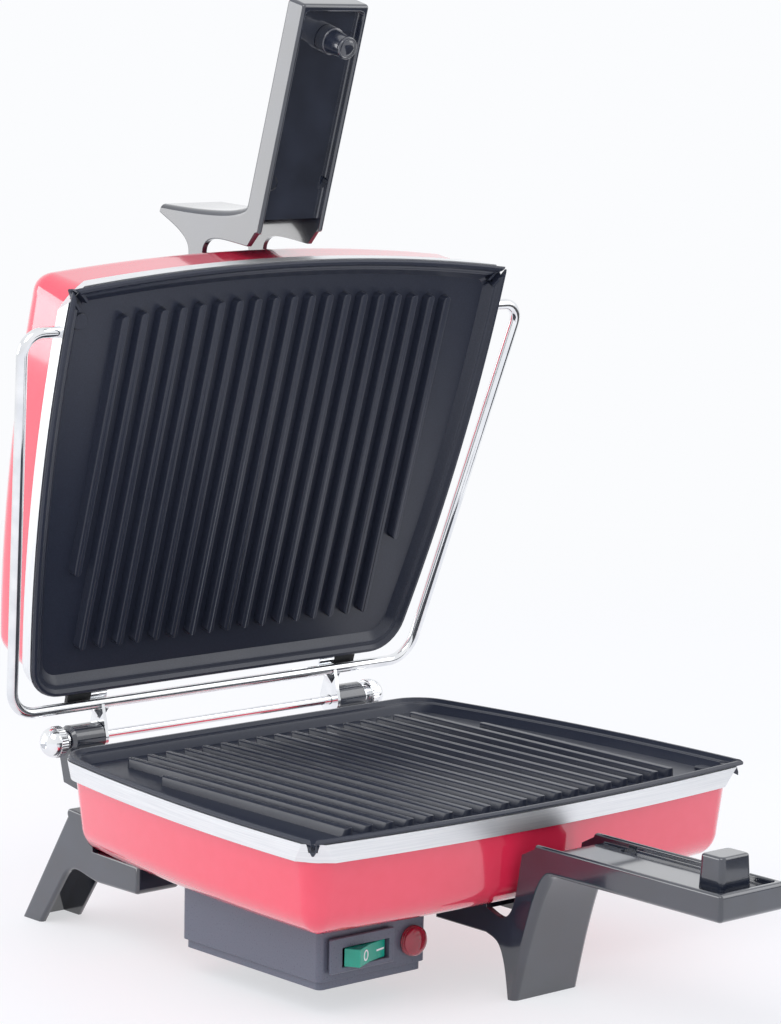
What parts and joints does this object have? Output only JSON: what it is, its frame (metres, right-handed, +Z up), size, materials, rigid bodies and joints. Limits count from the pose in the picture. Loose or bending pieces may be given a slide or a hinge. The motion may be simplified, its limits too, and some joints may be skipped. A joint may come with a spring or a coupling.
{
  "type": "contact grill",
  "caption": "Electric contact grill with ribbed cast plates, red enamelled shells, one-piece leg and handle mouldings, and a floating lid in a wire bail on a friction hinge.",
  "frame": {"origin": "On the worktop, under the centre of the whole grill's box as it stands in the picture with its lid open", "axes": "+X to the right seen from the front handle, +Y to the back where the hinge is, +Z up"},
  "size_m": [0.3468, 0.4418, 0.4911],
  "materials": {
    "red_enamel": "gloss",
    "brushed_band": "brushed",
    "nonstick_plate": "dark non-stick coating",
    "chrome": "polished",
    "black_moulding": "gloss",
    "box_plastic": "satin",
    "green_rocker": "gloss",
    "red_lens": "gloss",
    "black_rubber": "satin",
    "pale_insulator": "matte",
    "plain_steel": "plain"
  },
  "bodies": {
    "base": {"base_shell": "red_enamel", "base_trim_band": "brushed_band", "lower_grill_plate": "nonstick_plate", "lower_heating_element": "plain_steel", "lower_reflector": "plain_steel", "lower_reflector_screw": "plain_steel", "lower_thermostat": "pale_insulator", "lower_handle_bolt": "plain_steel", "lower_tie_bolt_left": "plain_steel", "lower_tie_bolt_right": "plain_steel", "lower_tie_spacer_left": "plain_steel", "lower_tie_spacer_right": "plain_steel", "front_leg_handle": "black_moulding", "handle_stop_block": "black_moulding", "switch_box": "box_plastic", "switch_box_cover": "box_plastic", "cover_screw_1": "plain_steel", "cover_screw_2": "plain_steel", "cover_screw_3": "plain_steel", "cover_screw_4": "plain_steel", "switch_bezel": "box_plastic", "indicator_lamp": "red_lens", "cord_gland": "black_rubber", "terminal_block": "pale_insulator", "hinge_rod": "chrome", "rear_foot_left": "black_moulding", "rear_foot_right": "black_moulding", "rear_foot_screw_left": "plain_steel", "rear_foot_screw_right": "plain_steel", "hinge_lug_left": "black_moulding", "hinge_lug_right": "black_moulding", "hinge_knob_left": "chrome", "hinge_knob_right": "chrome"},
    "bail": {"bail_wire": "chrome", "bail_bracket_left": "chrome", "bail_bracket_right": "chrome"},
    "lid": {"lid_shell": "red_enamel", "lid_trim_band": "brushed_band", "upper_grill_plate": "nonstick_plate", "upper_heating_element": "plain_steel", "upper_reflector": "plain_steel", "upper_reflector_screw": "plain_steel", "upper_thermostat": "pale_insulator", "upper_handle_bolt": "plain_steel", "upper_tie_bolt_left": "plain_steel", "upper_tie_bolt_right": "plain_steel", "upper_tie_spacer_left": "plain_steel", "upper_tie_spacer_right": "plain_steel", "lid_leg_handle": "black_moulding", "lid_handle_pin": "black_moulding", "lid_bumper_left": "black_rubber", "lid_bumper_right": "black_rubber", "bumper_clip_left": "chrome", "bumper_clip_right": "chrome"},
    "rocker": {"rocker_switch": "green_rocker"}
  },
  "joints": [
    {"name": "bail_hinge", "type": "hinge", "parent": "base", "child": "bail", "pos_m": [0, 0.17899, 0.0975], "axis": [-1, 0, 0], "range_deg": [-74.03, 104.5]},
    {"name": "lid_pivot", "type": "hinge", "parent": "bail", "child": "lid", "pos_m": [0, 0.12596, 0.32244], "axis": [1, 0, 0], "range_deg": [0, 2.4]},
    {"name": "rocker_pivot", "type": "hinge", "parent": "base", "child": "rocker", "pos_m": [-0.09375, -0.04981, 0.0303], "axis": [0, 0, 1], "range_deg": [-40, 0]}
  ]
}
